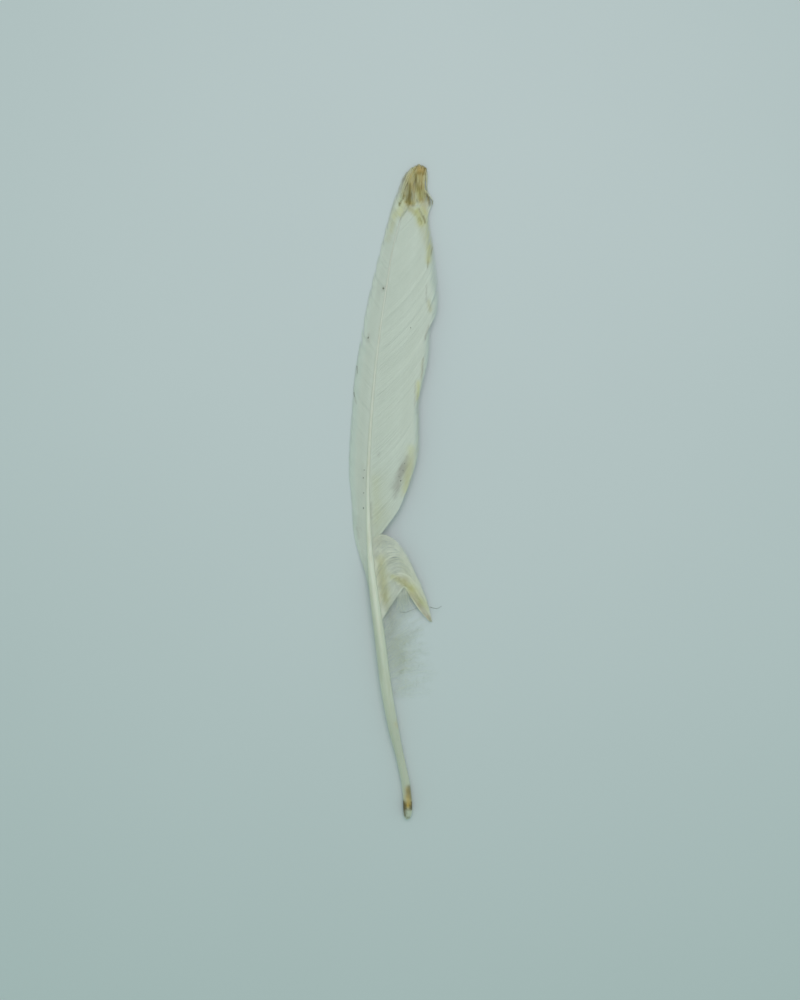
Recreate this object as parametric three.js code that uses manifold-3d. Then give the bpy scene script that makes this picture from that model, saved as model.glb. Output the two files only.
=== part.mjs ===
// A white egret flight feather: an outer primary of the left wing, lying with its back up.
// It rests on the end of its quill, on its tip and on the edge of its narrow vane.
// Millimetres, +Z up, +Y from the end of the quill to the tip, narrow vane on the -X side.
// The origin is on the surface that the feather lies on, at the middle of its bounding box.
// Shaft, vanes, tuft and down grew as one piece, so they are one solid.

import * as THREE from 'three';
import { mergeVertices } from 'three/addons/utils/BufferGeometryUtils.js';
import Module from 'manifold-3d';

const wasm = await Module();
wasm.setup();

const { lerp, smoothstep } = THREE.MathUtils;

// Shaft: its centre line and width, from the end of the quill to the tip
const SHAFT_ROWS = [
  { x: 4.7, y: -115.0, z: 0.95, width: 1.3 },
  { x: 4.8, y: -114.0, z: 1.3, width: 2.5 },
  { x: 4.9, y: -111.5, z: 1.6, width: 3.15 },
  { x: 4.4, y: -104.0, z: 1.55, width: 3.0 },
  { x: 2.4, y: -94.0, z: 1.7, width: 2.8 },
  { x: 0.1, y: -84.0, z: 2.1, width: 3.5 },
  { x: -2.6, y: -69.0, z: 2.8, width: 3.8 },
  { x: -5.0, y: -50.0, z: 3.4, width: 3.6 },
  { x: -7.1, y: -34.0, z: 3.7, width: 3.0 },
  { x: -8.5, y: -18.0, z: 3.9, width: 1.9 },
  { x: -9.0, y: 0.0, z: 4.0, width: 1.45 },
  { x: -8.3, y: 22.0, z: 4.0, width: 1.2 },
  { x: -6.3, y: 46.0, z: 3.7, width: 1.0 },
  { x: -3.3, y: 68.0, z: 3.1, width: 0.85 },
  { x: 0.4, y: 88.0, z: 2.1, width: 0.7 },
  { x: 4.6, y: 102.0, z: 1.2, width: 0.6 },
  { x: 8.6, y: 113.4, z: 0.6, width: 0.4 },
];
const SHAFT_SIDES = 10;
const SHAFT_STEPS = 46;

// Vanes: the point of the outline that the barb from each height on the shaft reaches
const NARROW_EDGE = [
  { root: -36.5, x: -8.9, y: -34.5, z: 2.4 },
  { root: -32.0, x: -10.3, y: -27.7, z: 1.7 },
  { root: -28.0, x: -12.3, y: -22.0, z: 0.8 },
  { root: -23.0, x: -14.2, y: -15.0, z: 0.15 },
  { root: -11.3, x: -15.1, y: -2.7, z: 0.15 },
  { root: -1.0, x: -16.0, y: 9.0, z: 0.15 },
  { root: 16.0, x: -15.1, y: 25.8, z: 0.15 },
  { root: 30.5, x: -13.9, y: 40.7, z: 0.15 },
  { root: 43.5, x: -11.9, y: 53.2, z: 0.15 },
  { root: 57.5, x: -9.5, y: 65.9, z: 0.2 },
  { root: 79.3, x: -4.8, y: 85.3, z: 0.2 },
  { root: 97.5, x: 0.1, y: 102.9, z: 0.25 },
  { root: 107.0, x: 4.4, y: 112.5, z: 0.3 },
  { root: 112.4, x: 8.8, y: 115.3, z: 0.35 },
];
const WIDE_EDGE = [
  { root: -20.0, x: 8.4, y: 4.5, z: 2.9 },
  { root: -12.7, x: 9.0, y: 11.0, z: 3.1 },
  { root: -1.4, x: 9.2, y: 21.9, z: 3.2 },
  { root: 10.5, x: 9.3, y: 33.7, z: 3.2 },
  { root: 16.1, x: 11.2, y: 41.6, z: 3.1 },
  { root: 22.4, x: 12.8, y: 49.4, z: 3.0 },
  { root: 32.4, x: 13.2, y: 58.9, z: 3.0 },
  { root: 36.0, x: 15.1, y: 62.8, z: 3.0 },
  { root: 41.0, x: 15.9, y: 68.9, z: 2.8 },
  { root: 52.2, x: 15.1, y: 78.2, z: 2.4 },
  { root: 60.9, x: 14.2, y: 84.8, z: 2.0 },
  { root: 79.0, x: 12.5, y: 98.0, z: 1.2 },
  { root: 83.0, x: 13.6, y: 101.8, z: 1.1 },
  { root: 94.0, x: 11.9, y: 108.2, z: 0.6 },
  { root: 103.0, x: 11.9, y: 113.4, z: 0.45 },
  { root: 111.6, x: 9.3, y: 115.3, z: 0.35 },
];
const NARROW_LOCKS = 23;
const WIDE_LOCKS = 32;
const NARROW_ACROSS = 5;
const WIDE_ACROSS = 6;
const NARROW_BOW = 0.1;
const WIDE_BOW = 0.14;
// Arch of the wide vane, full where its edge is as high as the second number
const WIDE_CROWN = 0.9;
const CROWN_EDGE = [0.5, 2.5];
const ROOT_OVERLAP = 0.2;
// Share of a barb's length from which it lies flat on the surface
const FLAT_FROM = 0.72;
const NARROW_NOTCH = 0.35;
const WIDE_NOTCH = 0.5;
// Where along a vane the barbs have parted, from its first lock to its last, and how deep
const NARROW_SPLITS = [{ at: 0.5, depth: 1.6 }, { at: 0.58, depth: 1.2 }];
const WIDE_SPLITS = [{ at: 0.24, depth: 1.3 }, { at: 0.31, depth: 2.2 }, { at: 0.47, depth: 2.6 }];

// Down below the tuft: its soft barbs stand out to the right and sink to the surface
const DOWN_EDGE = [
  { root: -71.2, x: 9.2, y: -71.8, z: 0.35 },
  { root: -64.0, x: 10.8, y: -62.8, z: 0.35 },
  { root: -55.0, x: 13.0, y: -52.6, z: 0.35 },
  { root: -46.5, x: 13.8, y: -44.2, z: 0.4 },
  { root: -42.5, x: 12.0, y: -40.6, z: 0.5 },
];
const DOWN_LOCKS = 7;
const DOWN_ACROSS = 4;
const DOWN_BOW = 0.06;
const DOWN_NOTCH = 2.4;

// Tuft: barbs that arch over and hang to the right, between its inner arc and its outer arc
const TUFT_INNER_ARC = [
  [-7.3, -34, 3.5],
  [-3.6, -29.4, 4],
  [0.6, -27.6, 4],
  [4.6, -30.4, 3.3],
  [8, -36, 2.2],
  [12.6, -44.8, 0.8],
];
const TUFT_OUTER_ARC = [
  [-8.3, -25, 3.7],
  [-3.8, -17.6, 4.2],
  [1.6, -18.1, 4.2],
  [7.2, -24.8, 3.4],
  [10.6, -33.5, 2.2],
  [13.8, -41, 0.9],
];
const TUFT_LOCKS = 7;
const TUFT_ACROSS = 8;
const TUFT_NOTCH = 1.6;

// Thickness of the sheets of barbs, and the ridges that their locks make
const ROOT_THICKNESS = 0.45;
const EDGE_THICKNESS = 0.3;
const RIDGE_HEIGHT = 0.3;
// Shares of a barb's length between which the ridges grow from the smooth root
const RIDGE_START = [0.04, 0.3];
// Heights between which the flat underside takes up the ridges
const RIDGED_UNDERSIDE = [0.2, 1];
const NOTCH_VARIATION = 0.6;
const LOCK_JITTER = 0.28;
// The last part of each vane is matted: its ridges stand higher
const MATTED_FROM = 0.86;
const MATTED_RIDGES = 1.6;
// Each lock rises from its lower border, stays up, and drops to the next lock
const LOCK_PROFILE = [
  { at: 0, rise: 0, reach: 0 },
  { at: 0.45, rise: 1, reach: 1 },
  { at: 0.9, rise: 0.75, reach: 0.9 },
];

// Single locks: two that hang back from the top of the tuft, and the fold at the tip
const LONG_BACK_LOCK = {
  width: 2.4,
  path: [[-6.9, -37, 3.4], [-1.8, -30.6, 3.9], [2, -30.4, 3.7], [1.5, -34.6, 2.8], [-2.3, -44.4, 1.2]],
};
const SHORT_BACK_LOCK = {
  width: 1.9,
  path: [[-6.6, -40, 3.3], [-4.4, -33.6, 3.8], [-1.4, -32.6, 3.6], [-2, -37, 2.8], [-3.6, -44, 1.6]],
};
const TIP_FOLD = {
  width: 1.6,
  path: [[13.7, 101.5, 1.3], [12.2, 105.8, 1.1], [11.6, 109.5, 0.9], [11.3, 114, 0.6]],
};
const LOOSE_LOCKS = [LONG_BACK_LOCK, SHORT_BACK_LOCK, TIP_FOLD];
const LOOSE_THICKNESS = 0.5;
const LOOSE_STEPS = 9;
const LOOSE_ROOT_SHARE = 0.55;
const LOOSE_END_SHARE = 0.16;
const LOOSE_FULL_AT = 0.36;
const LOOSE_TAPER_FROM = 0.45;

const FEATHER_COLOR = 0xe4e6da;
const FEATHER_ROUGHNESS = 0.75;

const HALVINGS = 24;

// A repeatable wander between -1 and 1 for each whole number
function wander(n) {
  const turn = Math.sin(n * 12.9898 + 4.1414) * 43758.5453;
  return 2 * (turn - Math.floor(turn)) - 1;
}

function curveThrough(rows) {
  return new THREE.CatmullRomCurve3(rows.map((row) => new THREE.Vector3(row.x, row.y, row.z)));
}

function pathThrough(points) {
  return new THREE.CatmullRomCurve3(points.map((point) => new THREE.Vector3(...point)));
}

const shaftLine = curveThrough(SHAFT_ROWS);
const shaftWidth = curveThrough(SHAFT_ROWS.map((row) => ({ x: row.width, y: 0, z: 0 })));

// The point on the shaft's centre line at a height y, found by halving
function shaftAt(y) {
  let low = 0;
  let high = 1;
  for (let i = 0; i < HALVINGS; i += 1) {
    const middle = (low + high) / 2;
    if (shaftLine.getPoint(middle).y < y) low = middle;
    else high = middle;
  }
  return shaftLine.getPoint(low);
}

// A closed geometry with its shared corners merged and each corner moved by a rule
function bent(geometry, place) {
  geometry.deleteAttribute('normal');
  geometry.deleteAttribute('uv');
  const merged = mergeVertices(geometry);
  const corners = merged.attributes.position;
  const corner = new THREE.Vector3();
  for (let i = 0; i < corners.count; i += 1) {
    const moved = place(corner.fromBufferAttribute(corners, i));
    corners.setXYZ(i, moved.x, moved.y, Math.max(0, moved.z));
  }
  return merged;
}

// Shaft: a round cylinder bent along the centre line, its sides level
function shaftGeometry() {
  const rod = new THREE.CylinderGeometry(1, 1, 1, SHAFT_SIDES, SHAFT_STEPS);
  return bent(rod, (corner) => {
    const along = corner.y + 0.5;
    const centre = shaftLine.getPoint(along);
    const ahead = shaftLine.getTangent(along);
    const radius = shaftWidth.getPoint(along).x / 2;
    const side = new THREE.Vector3(ahead.y, -ahead.x, 0).normalize();
    const up = new THREE.Vector3().crossVectors(side, ahead);
    return centre.addScaledVector(side, corner.x * radius).addScaledVector(up, corner.z * radius);
  });
}

// Sheet of barbs: a thin slab over a surface given by a rule, ridged and notched lock by lock
function sheetGeometry({ side, locks, across, notch, splits, surface }) {
  const stepsPerLock = LOCK_PROFILE.length;
  const columns = locks * stepsPerLock;
  const slab = new THREE.BoxGeometry(1, 1, 1, across, columns, 1);

  return bent(slab, (corner) => {
    const column = Math.round((corner.y + 0.5) * columns);
    const lock = Math.floor(column / stepsPerLock);
    const profile = LOCK_PROFILE[column % stepsPerLock];
    const along = Math.min(1, lerp(lockBorder(lock, locks), lockBorder(lock + 1, locks), profile.at));
    const out = 0.5 + side * corner.x;
    const border = Math.round(column / stepsPerLock);
    const split = splits.find((parted) => Math.abs(parted.at * locks - border) < 0.5);
    const depth = split ? split.depth : notch * (1 + NOTCH_VARIATION * wander(border));
    const point = surface(along, out, depth * (1 - profile.reach));

    const matted = 1 + MATTED_RIDGES * smoothstep(along, MATTED_FROM, 1);
    const lift = RIDGE_HEIGHT * matted * profile.rise * smoothstep(out, ...RIDGE_START);
    const half = lerp(ROOT_THICKNESS, EDGE_THICKNESS, out) / 2;
    const clear = smoothstep(point.z, ...RIDGED_UNDERSIDE);
    point.z += corner.z > 0 ? lift + half : lift * clear - half;
    return point;
  });
}

// Where a lock begins along its sheet: even steps, a little wandered, with fixed ends
function lockBorder(lock, locks) {
  const inside = lock > 0 && lock < locks;
  return (lock + (inside ? LOCK_JITTER * wander(lock) : 0)) / locks;
}

// Vane: barbs leave the shaft, bow away from the tip and reach the outline, less the cut
function vaneSurface(edge, side, bow, height) {
  const inward = new THREE.Vector3(-side * ROOT_OVERLAP, 0, 0);
  const roots = new THREE.CatmullRomCurve3(edge.map((row) => shaftAt(row.root).add(inward)));
  const ends = curveThrough(edge);
  return (along, out, cut) => {
    const matched = roots.getUtoTmapping(along);
    const root = roots.getPoint(matched);
    const barb = ends.getPoint(matched).sub(root);
    const reach = out * (1 - cut / barb.length());
    const sag = 2 * bow * reach * (1 - reach);
    return new THREE.Vector3(
      root.x + barb.x * reach + side * sag * barb.y,
      root.y + barb.y * reach - side * sag * barb.x,
      height(root.z, root.z + barb.z, reach),
    );
  };
}

// The narrow vane and the down bend from the shaft to the surface and lie flat along their edge
function lyingHeight(rootZ, endZ, reach) {
  return lerp(rootZ, endZ, smoothstep(reach, 0, FLAT_FROM));
}

// The wide vane is arched and stays clear of the surface
function archedHeight(rootZ, endZ, reach) {
  const crown = WIDE_CROWN * smoothstep(endZ, ...CROWN_EDGE);
  return lerp(rootZ, endZ, reach) + crown * Math.sin(Math.PI * reach);
}

// Tuft: barbs between two arcs
function tuftSurface() {
  const inner = pathThrough(TUFT_INNER_ARC);
  const outer = pathThrough(TUFT_OUTER_ARC);
  return (along, out, cut) => {
    const reach = out * (1 - cut / lerp(inner.getLength(), outer.getLength(), along));
    return inner.getPoint(reach).lerp(outer.getPoint(reach), along);
  };
}

// Loose lock: a thin strip along a path, widest near its middle and narrow at its end
function looseLockGeometry({ path, width }) {
  const line = pathThrough(path);
  const strip = new THREE.BoxGeometry(1, 1, 1, LOOSE_STEPS, 2, 1);
  return bent(strip, (corner) => {
    const along = corner.x + 0.5;
    const point = line.getPointAt(along);
    const ahead = line.getTangentAt(along);
    const left = new THREE.Vector3(-ahead.y, ahead.x, 0).normalize();
    const swell = lerp(LOOSE_ROOT_SHARE, 1, smoothstep(along, 0, LOOSE_FULL_AT));
    const taper = lerp(1, LOOSE_END_SHARE, smoothstep(along, LOOSE_TAPER_FROM, 1));
    const ridge = corner.y === 0 && corner.z > 0 ? LOOSE_THICKNESS / 4 : 0;
    point.addScaledVector(left, corner.y * width * swell * taper);
    point.z += corner.z * LOOSE_THICKNESS + ridge;
    return point;
  });
}

function solid(geometry) {
  return new wasm.Manifold(new wasm.Mesh({
    numProp: 3,
    vertProperties: geometry.attributes.position.array,
    triVerts: Uint32Array.from(geometry.index.array),
  }));
}

function geometryOf(manifold) {
  const { vertProperties, triVerts } = manifold.getMesh();
  const geometry = new THREE.BufferGeometry();
  geometry.setAttribute('position', new THREE.BufferAttribute(vertProperties, 3));
  geometry.setIndex(new THREE.BufferAttribute(triVerts, 1));
  geometry.computeVertexNormals();
  return geometry;
}

const sheets = {
  narrowVane: {
    side: -1,
    locks: NARROW_LOCKS,
    across: NARROW_ACROSS,
    notch: NARROW_NOTCH,
    splits: NARROW_SPLITS,
    surface: vaneSurface(NARROW_EDGE, -1, NARROW_BOW, lyingHeight),
  },
  wideVane: {
    side: 1,
    locks: WIDE_LOCKS,
    across: WIDE_ACROSS,
    notch: WIDE_NOTCH,
    splits: WIDE_SPLITS,
    surface: vaneSurface(WIDE_EDGE, 1, WIDE_BOW, archedHeight),
  },
  tuft: {
    side: 1,
    locks: TUFT_LOCKS,
    across: TUFT_ACROSS,
    notch: TUFT_NOTCH,
    splits: [],
    surface: tuftSurface(),
  },
  down: {
    side: 1,
    locks: DOWN_LOCKS,
    across: DOWN_ACROSS,
    notch: DOWN_NOTCH,
    splits: [],
    surface: vaneSurface(DOWN_EDGE, 1, DOWN_BOW, lyingHeight),
  },
};

function featherGeometry() {
  const pieces = [
    ...Object.values(sheets).map(sheetGeometry),
    ...LOOSE_LOCKS.map(looseLockGeometry),
  ];
  return geometryOf(pieces.reduce((whole, piece) => whole.add(solid(piece)), solid(shaftGeometry())));
}

function featherMaterial() {
  return new THREE.MeshStandardMaterial({
    color: FEATHER_COLOR,
    roughness: FEATHER_ROUGHNESS,
    metalness: 0,
  });
}

const feather = new THREE.Mesh(featherGeometry(), featherMaterial());
feather.name = 'feather';

const egretFeather = new THREE.Group();
egretFeather.add(feather);

export default egretFeather;
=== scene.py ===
# A white egret flight feather, lying with its back up on a pale floor.
# Every barb is its own closed strand of mesh. All measures are in millimetres until a mesh is made.

import math

import bpy
import numpy as np
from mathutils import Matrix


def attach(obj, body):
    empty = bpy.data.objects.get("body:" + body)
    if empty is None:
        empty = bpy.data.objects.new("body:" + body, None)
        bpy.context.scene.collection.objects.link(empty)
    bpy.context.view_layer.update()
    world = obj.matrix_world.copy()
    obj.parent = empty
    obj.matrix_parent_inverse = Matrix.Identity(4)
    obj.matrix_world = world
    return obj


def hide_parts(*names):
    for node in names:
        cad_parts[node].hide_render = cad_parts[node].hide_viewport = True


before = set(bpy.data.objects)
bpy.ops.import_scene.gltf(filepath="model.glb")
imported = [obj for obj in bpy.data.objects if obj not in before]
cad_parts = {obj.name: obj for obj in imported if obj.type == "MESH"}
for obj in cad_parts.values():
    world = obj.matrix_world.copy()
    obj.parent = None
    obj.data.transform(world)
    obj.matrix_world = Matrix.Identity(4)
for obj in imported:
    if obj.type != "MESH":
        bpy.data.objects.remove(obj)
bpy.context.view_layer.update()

MM = 0.001
NODE = "feather"
UP = np.array([0.0, 0.0, 1.0])

# Shaft: x, y, z of its centre line and its width, from the end of the quill to the tip
SHAFT_ROWS = np.array([
    (4.7, -115.0, 0.95, 1.3),
    (4.8, -114.0, 1.3, 2.5),
    (4.9, -111.5, 1.6, 3.15),
    (4.4, -104.0, 1.55, 3.0),
    (2.4, -94.0, 1.7, 2.8),
    (0.1, -84.0, 2.1, 3.5),
    (-2.6, -69.0, 2.8, 3.8),
    (-5.0, -50.0, 3.4, 3.6),
    (-7.1, -34.0, 3.7, 3.0),
    (-8.5, -18.0, 3.9, 1.9),
    (-9.0, 0.0, 4.0, 1.45),
    (-8.1, 22.0, 4.0, 1.25),
    (-6.0, 46.0, 3.7, 1.05),
    (-3.05, 68.0, 3.1, 0.85),
    (0.4, 88.0, 2.1, 0.7),
    (4.6, 102.0, 1.2, 0.6),
    (8.6, 113.4, 0.6, 0.4),
])

# Vanes: height of a barb's root on the shaft, and x, y, z of the outline point that it reaches
NARROW_EDGE = np.array([
    (-36.5, -8.9, -34.5, 2.4),
    (-32.0, -10.3, -27.7, 1.7),
    (-28.0, -12.3, -22.0, 0.8),
    (-23.0, -14.2, -15.0, 0.15),
    (-11.3, -15.1, -2.7, 0.15),
    (-1.0, -16.0, 9.0, 0.15),
    (16.0, -15.1, 25.8, 0.15),
    (30.5, -13.9, 40.7, 0.15),
    (43.5, -11.9, 53.2, 0.15),
    (57.5, -9.5, 65.9, 0.2),
    (79.3, -4.8, 85.3, 0.2),
    (97.5, 0.1, 102.9, 0.25),
    (107.0, 4.4, 112.5, 0.3),
    (112.4, 8.8, 115.3, 0.35),
])
WIDE_EDGE = np.array([
    (-20.0, 8.4, 4.5, 2.9),
    (-12.7, 9.0, 11.0, 3.1),
    (-1.4, 9.2, 21.9, 3.2),
    (10.5, 9.3, 33.7, 3.2),
    (16.1, 11.2, 41.6, 3.1),
    (22.4, 12.8, 49.4, 3.0),
    (32.4, 13.2, 58.9, 3.0),
    (36.0, 15.1, 62.8, 3.0),
    (41.0, 15.9, 68.9, 2.8),
    (52.2, 15.1, 78.2, 2.4),
    (60.9, 14.2, 84.8, 2.0),
    (79.0, 12.5, 98.0, 1.2),
    (83.0, 13.6, 101.8, 1.1),
    (94.0, 11.1, 108.2, 0.6),
    (103.0, 11.9, 113.4, 0.45),
    (111.6, 9.3, 115.3, 0.35),
])
# How far the barbs' roots lie inside the shaft
ROOT_OVERLAP = 0.2
# The share of its reach at which a barb of the narrow vane has come down to its end's height
FLAT_FROM = 0.72
# How high the wide vane's barbs arch: from nothing to the whole of it over these heights of their ends
WIDE_CROWN = 0.9
CROWN_EDGE = (0.5, 2.5)
# The share of the bow that the wide vane's lowest barb has, and the place from which barbs have it all
LOW_BOW = 0.4
LOW_BOW_UP_TO = 0.14
# How much the borders of the locks and the notches between them vary
LOCK_JITTER = 0.28
NOTCH_VARIATION = 0.6
# Phase inside a lock, with how far its barbs rise and reach there
LOCK_PHASE = (0.0, 0.45, 0.9, 1.0)
LOCK_RISE = (0.0, 1.0, 0.75, 0.0)
LOCK_REACH = (0.0, 1.0, 0.9, 0.0)
# The place along a vane from which its locks are matted
MATTED_FROM = 0.86

# Tuft: its barbs rise from the shaft, arch over and hang to the right. From its inner arc to its outer one.
TUFT_SHARES = (0.0, 0.35, 0.65, 1.0, 1.15)
TUFT_ARCS = np.array([
    [(-5.4, -47.5, 3.2), (-2.7, -42.5, 3.3), (0.4, -37.9, 3.5), (2.2, -35.0, 3.6),
     (3.6, -33.6, 3.5), (5.9, -36.8, 2.7), (8.7, -41.2, 1.7), (12.9, -46.1, 0.8)],
    [(-6.6, -40, 3.4), (-3.8, -34.6, 3.6), (-0.8, -30.4, 3.8), (2.4, -28.9, 3.9),
     (5.4, -30.2, 3.6), (8.6, -34.3, 2.7), (11.6, -39.6, 1.7), (13.4, -46.0, 0.9)],
    [(-7.3, -33, 3.5), (-4.6, -27.6, 3.9), (-1.8, -24, 4.1), (1.6, -23.2, 4.0),
     (4.6, -25.2, 3.7), (8.0, -30.6, 2.9), (10.8, -36.8, 1.9), (13.3, -45.0, 1.0)],
    [(-8.2, -23, 3.7), (-6.0, -19.2, 4.1), (-3.4, -17.0, 4.2), (-0.4, -17.4, 4.2),
     (3.0, -20.6, 3.9), (6.4, -27.2, 3.2), (9.1, -34.7, 2.2), (12.3, -41.8, 1.0)],
    [(-8.7, -19.5, 3.8), (-7.2, -16.6, 4.1), (-5.2, -15.0, 4.2), (-2.2, -15.4, 4.2),
     (2.3, -19.1, 4.0), (6.2, -26.2, 3.3), (8.9, -33.8, 2.3), (12.1, -40.8, 1.1)],
])

# Step, start and size of the sine whose fraction scatters whole numbers
SCATTER = (12.9898, 4.1414, 43758.5453)
# Places on a whole curve, for looking up points of the shaft and of a vane's row of roots
SHAFT_PLACES, VANE_PLACES = np.linspace(0, 1, 3000), np.linspace(0, 1, 800)


def smooth(x, low, high):
    """From 0 at low to 1 at high, level at both."""
    t = np.clip((np.asarray(x, float) - low) / (high - low), 0, 1)
    return t * t * (3 - 2 * t)


def lerp(a, b, t):
    """From a to b as t goes from 0 to 1."""
    return a + (b - a) * t


def unit(v):
    return v / np.maximum(np.linalg.norm(v, axis=-1, keepdims=True), 1e-9)


def wander(n):
    """A repeatable wander between -1 and 1 for each whole number."""
    step, start, size = SCATTER
    turn = np.sin(np.asarray(n, float) * step + start) * size
    return 2 * (turn - np.floor(turn)) - 1


def curve(points, t):
    """Points on a centripetal Catmull-Rom curve, for places t from 0 to 1."""
    points = np.asarray(points, float)
    t = np.asarray(t, float)
    ends = [2 * points[0] - points[1]], points, [2 * points[-1] - points[-2]]
    padded = np.vstack(ends)
    place = np.clip(t, 0, 1) * (len(points) - 1)
    k = np.minimum(place.astype(int), len(points) - 2)
    w = (place - k)[..., None]
    p0, p1, p2, p3 = (padded[k + i] for i in range(4))
    d0, d1, d2 = (
        np.maximum(np.linalg.norm(b - a, axis=-1, keepdims=True), 1e-6) ** 0.5
        for a, b in ((p0, p1), (p1, p2), (p2, p3))
    )
    m1 = ((p1 - p0) / d0 - (p2 - p0) / (d0 + d1) + (p2 - p1) / d1) * d1
    m2 = ((p2 - p1) / d1 - (p3 - p1) / (d1 + d2) + (p3 - p2) / d2) * d1
    a = 2 * p1 - 2 * p2 + m1 + m2
    b = -3 * p1 + 3 * p2 - 2 * m1 - m2
    return ((a * w + b) * w + m1) * w + p1


SHAFT_SAMPLES = curve(SHAFT_ROWS[:, :3], SHAFT_PLACES)
WIDTH_SAMPLES = curve(np.c_[SHAFT_ROWS[:, 3], np.zeros(len(SHAFT_ROWS))], SHAFT_PLACES)[:, 0]


def shaft_at(y):
    """The shaft's centre at heights y."""
    y = np.asarray(y, float)
    x, z = (np.interp(y, SHAFT_SAMPLES[:, 1], SHAFT_SAMPLES[:, i]) for i in (0, 2))
    return np.stack([x, y, z], axis=-1)


def shaft_width(y):
    return np.interp(y, SHAFT_SAMPLES[:, 1], WIDTH_SAMPLES)


def lying_height(root_z, end_z, reach):
    """A barb of the narrow vane comes down from the shaft and then lies flat."""
    return lerp(root_z, end_z, smooth(reach, 0, FLAT_FROM))


def arched_height(root_z, end_z, reach):
    """A barb of the wide vane arches up between its ends."""
    crown = WIDE_CROWN * smooth(end_z, *CROWN_EDGE)
    return lerp(root_z, end_z, reach) + crown * np.sin(np.pi * reach)


class Sheet:
    """The surface that a row of barbs lies in: along the shaft from 0 to 1, and out from it from 0 to 1."""

    def __init__(self, edge, side, bow, height, locks, notch, splits=()):
        self.edge, self.side, self.bow, self.height, self.locks = edge, side, bow, height, locks
        self.roots = shaft_at(edge[:, 0]) - np.array([side * ROOT_OVERLAP, 0, 0])
        fine = curve(self.roots, VANE_PLACES)
        run = np.r_[0, np.cumsum(np.linalg.norm(np.diff(fine, axis=0), axis=1))]
        self.run = run / run[-1]
        inside = np.arange(1, locks)
        self.borders = np.r_[0, (inside + LOCK_JITTER * wander(inside)) / locks, 1]
        self.depths = notch * (1 + NOTCH_VARIATION * wander(np.arange(locks + 1)))
        for at, depth in splits:
            self.depths[np.round(at * locks).astype(int)] = depth

    def matched(self, along):
        """The curve's own place for each share of the length along the shaft."""
        return np.interp(along, self.run, VANE_PLACES)

    def surface(self, along, out, cut=0.0):
        """Points of the sheet. A cut shortens the barbs from their ends."""
        along, out = np.broadcast_arrays(np.asarray(along, float), np.asarray(out, float))
        place = self.matched(np.clip(along, 0, 1))
        root = curve(self.roots, place)
        barb = curve(self.edge[:, 1:], place) - root
        reach = out * (1 - cut / np.linalg.norm(barb, axis=-1))
        bow = self.bow * (1 if self.side < 0 else lerp(LOW_BOW, 1, smooth(along, 0, LOW_BOW_UP_TO)))
        sag = 2 * bow * reach * (1 - reach) * self.side
        x = root[..., 0] + barb[..., 0] * reach + sag * barb[..., 1]
        y = root[..., 1] + barb[..., 1] * reach - sag * barb[..., 0]
        z = self.height(root[..., 2], root[..., 2] + barb[..., 2], reach)
        return np.stack([x, y, z], axis=-1)

    def lock_of(self, along):
        """Each barb's lock, its phase in that lock and the cut at its end."""
        lock = np.clip(np.searchsorted(self.borders, along, side="right") - 1, 0, self.locks - 1)
        low, high = self.borders[lock], self.borders[lock + 1]
        phase = np.clip((along - low) / (high - low), 0, 1)
        border = lock + (phase > LOCK_PHASE[1])
        cut = self.depths[border] * (1 - np.interp(phase, LOCK_PHASE, LOCK_REACH))
        return lock, phase, cut


# Splits are notches with a depth of their own: place along the vane and depth
NARROW = Sheet(
    NARROW_EDGE, side=-1, bow=0.1, height=lying_height, locks=23, notch=0.35,
    splits=[(0.5, 1.6), (0.58, 1.2)],
)
WIDE = Sheet(
    WIDE_EDGE, side=1, bow=0.14, height=arched_height, locks=32, notch=0.5,
    splits=[(0.24, 1.3), (0.31, 2.2), (0.47, 2.6)],
)


# Meshes

def placed(name, data):
    """A new object in the scene."""
    thing = bpy.data.objects.new(name, data)
    bpy.context.scene.collection.objects.link(thing)
    return thing


def mesh_piece(name, vertices, faces, values, material):
    """A piece of the feather from vertices in millimetres, arrays of faces, and values per vertex."""
    mesh = bpy.data.meshes.new(name)
    mesh.vertices.add(len(vertices))
    mesh.vertices.foreach_set("co", (vertices * MM).astype(np.float32).ravel())
    corners = np.concatenate([f.ravel() for f in faces])
    totals = np.concatenate([np.full(len(f), f.shape[1]) for f in faces])
    mesh.loops.add(len(corners))
    mesh.loops.foreach_set("vertex_index", corners.astype(np.int32))
    mesh.polygons.add(len(totals))
    starts = np.r_[0, np.cumsum(totals)[:-1]]
    mesh.polygons.foreach_set("loop_start", starts.astype(np.int32))
    mesh.polygons.foreach_set("loop_total", totals.astype(np.int32))
    mesh.polygons.foreach_set("use_smooth", np.ones(len(totals), bool))
    mesh.update(calc_edges=True)
    mesh.validate()
    for key, data in values.items():
        kind = "FLOAT" if data.ndim == 1 else "FLOAT_VECTOR"
        layer = mesh.attributes.new(key, kind, "POINT")
        layer.data.foreach_set("value" if data.ndim == 1 else "vector", data.astype(np.float32).ravel())
    piece = placed(name, mesh)
    mesh.materials.append(material)
    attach(piece, "root")
    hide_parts(NODE)
    return piece


def ring_faces(strands, rings, sides):
    """Quads round and along each strand, and a face that closes each end."""
    s = np.arange(strands)[:, None, None] * rings * sides
    r = np.arange(rings - 1)[None, :, None] * sides
    k = np.arange(sides)[None, None, :]
    n = (k + 1) % sides
    a, b = s + r + k, s + r + n
    quads = np.stack([a, b, b + sides, a + sides], axis=-1).reshape(-1, 4)
    first = s[:, 0] + np.arange(sides)[::-1]
    last = s[:, 0] + (rings - 1) * sides + np.arange(sides)
    return [quads, first, last]


def sections(points, side, up, right, rise):
    """The corners round each point, each by how far it lies to the side and up."""
    across = side[..., None, :] * right[..., None]
    return points[..., None, :] + across + up[..., None, :] * rise[..., None]


def keep_above(points, height):
    points[..., 2] = np.maximum(points[..., 2], height)


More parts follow.
